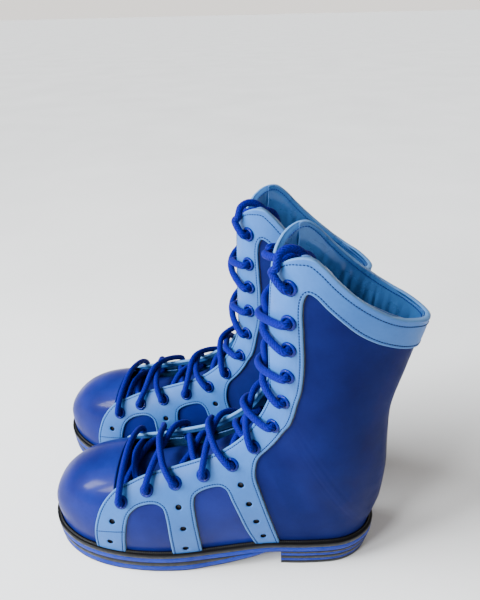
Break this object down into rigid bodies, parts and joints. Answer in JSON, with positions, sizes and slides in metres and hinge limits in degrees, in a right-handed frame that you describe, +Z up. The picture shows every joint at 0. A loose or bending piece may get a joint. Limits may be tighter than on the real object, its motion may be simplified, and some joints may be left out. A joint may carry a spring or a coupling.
{
  "type": "boxing boots",
  "caption": "Pair of high lace-up leather boxing boots with strapped overlays, a layered two-colour sole and a stacked low heel.",
  "frame": {"origin": "on the floor under the middle of the pair, at the centre of its bounding box", "axes": "+Z up, toes towards -X, left boot at -Y, right boot at +Y and turned 7.5 degrees inwards"},
  "size_m": [0.3412, 0.2102, 0.3054],
  "materials": {
    "upper_leather": "smooth polished royal-blue leather",
    "overlay_leather": "smooth powder-blue leather with a pale edge and dark blue stitching",
    "lining_leather": "thin satin sky-blue lining leather",
    "black_rubber": "satin black rubber, ribbed on the welt",
    "blue_sole": "satin bright blue sole rubber",
    "lace_braid": "round braided polyester cord",
    "eyelet_enamel": "gloss blue enamel on pressed metal",
    "cork": "ground cork, hidden inside the sole",
    "board": "stiff fibre board, hidden between layers",
    "shank_steel": "plain steel strip, hidden in the sole",
    "aglet_plastic": "clear blue lace tip"
  },
  "bodies": {
    "right_boot": {"right_welt": "black_rubber", "right_upper_midsole": "blue_sole", "right_middle_midsole": "black_rubber", "right_lower_midsole": "blue_sole", "right_outsole": "black_rubber", "right_heel_lift_upper_black": "black_rubber", "right_heel_lift_upper_blue": "blue_sole", "right_heel_lift_lower_black": "black_rubber", "right_heel_lift_lower_blue": "blue_sole", "right_top_lift": "black_rubber", "right_cork_filler": "cork", "right_insole_board": "board", "right_insole_cover": "lining_leather", "right_shank": "shank_steel", "right_vamp": "upper_leather", "right_quarter_lateral": "upper_leather", "right_overlay_lateral": "overlay_leather", "right_eyelets_lateral": "eyelet_enamel", "right_quarter_medial": "upper_leather", "right_overlay_medial": "overlay_leather", "right_eyelets_medial": "eyelet_enamel", "right_lining": "lining_leather", "right_heel_counter": "board", "right_toe_puff": "board", "right_lace": "lace_braid", "right_aglet_1": "aglet_plastic", "right_aglet_2": "aglet_plastic"},
    "left_boot": {"left_welt": "black_rubber", "left_upper_midsole": "blue_sole", "left_middle_midsole": "black_rubber", "left_lower_midsole": "blue_sole", "left_outsole": "black_rubber", "left_heel_lift_upper_black": "black_rubber", "left_heel_lift_upper_blue": "blue_sole", "left_heel_lift_lower_black": "black_rubber", "left_heel_lift_lower_blue": "blue_sole", "left_top_lift": "black_rubber", "left_cork_filler": "cork", "left_insole_board": "board", "left_insole_cover": "lining_leather", "left_shank": "shank_steel", "left_vamp": "upper_leather", "left_quarter_lateral": "upper_leather", "left_overlay_lateral": "overlay_leather", "left_eyelets_lateral": "eyelet_enamel", "left_quarter_medial": "upper_leather", "left_overlay_medial": "overlay_leather", "left_eyelets_medial": "eyelet_enamel", "left_lining": "lining_leather", "left_heel_counter": "board", "left_toe_puff": "board", "left_lace": "lace_braid", "left_aglet_1": "aglet_plastic", "left_aglet_2": "aglet_plastic"},
    "left_tongue_flap": {"left_tongue": "upper_leather"},
    "right_tongue_flap": {"right_tongue": "upper_leather"}
  },
  "joints": [
    {"name": "left_boot_lift", "type": "slide", "parent": "right_boot", "child": "left_boot", "axis": [0, 0, 1], "range_m": [0, 0.4]},
    {"name": "left_tongue_hinge", "type": "hinge", "parent": "left_boot", "child": "left_tongue_flap", "pos_m": [-0.0937, -0.0529, 0.078], "axis": [0, 1, 0], "range_deg": [0, 3]},
    {"name": "right_tongue_hinge", "type": "hinge", "parent": "right_boot", "child": "right_tongue_flap", "pos_m": [-0.1205, 0.0572, 0.078], "axis": [0.1305, 0.9914, 0], "range_deg": [0, 3]}
  ]
}
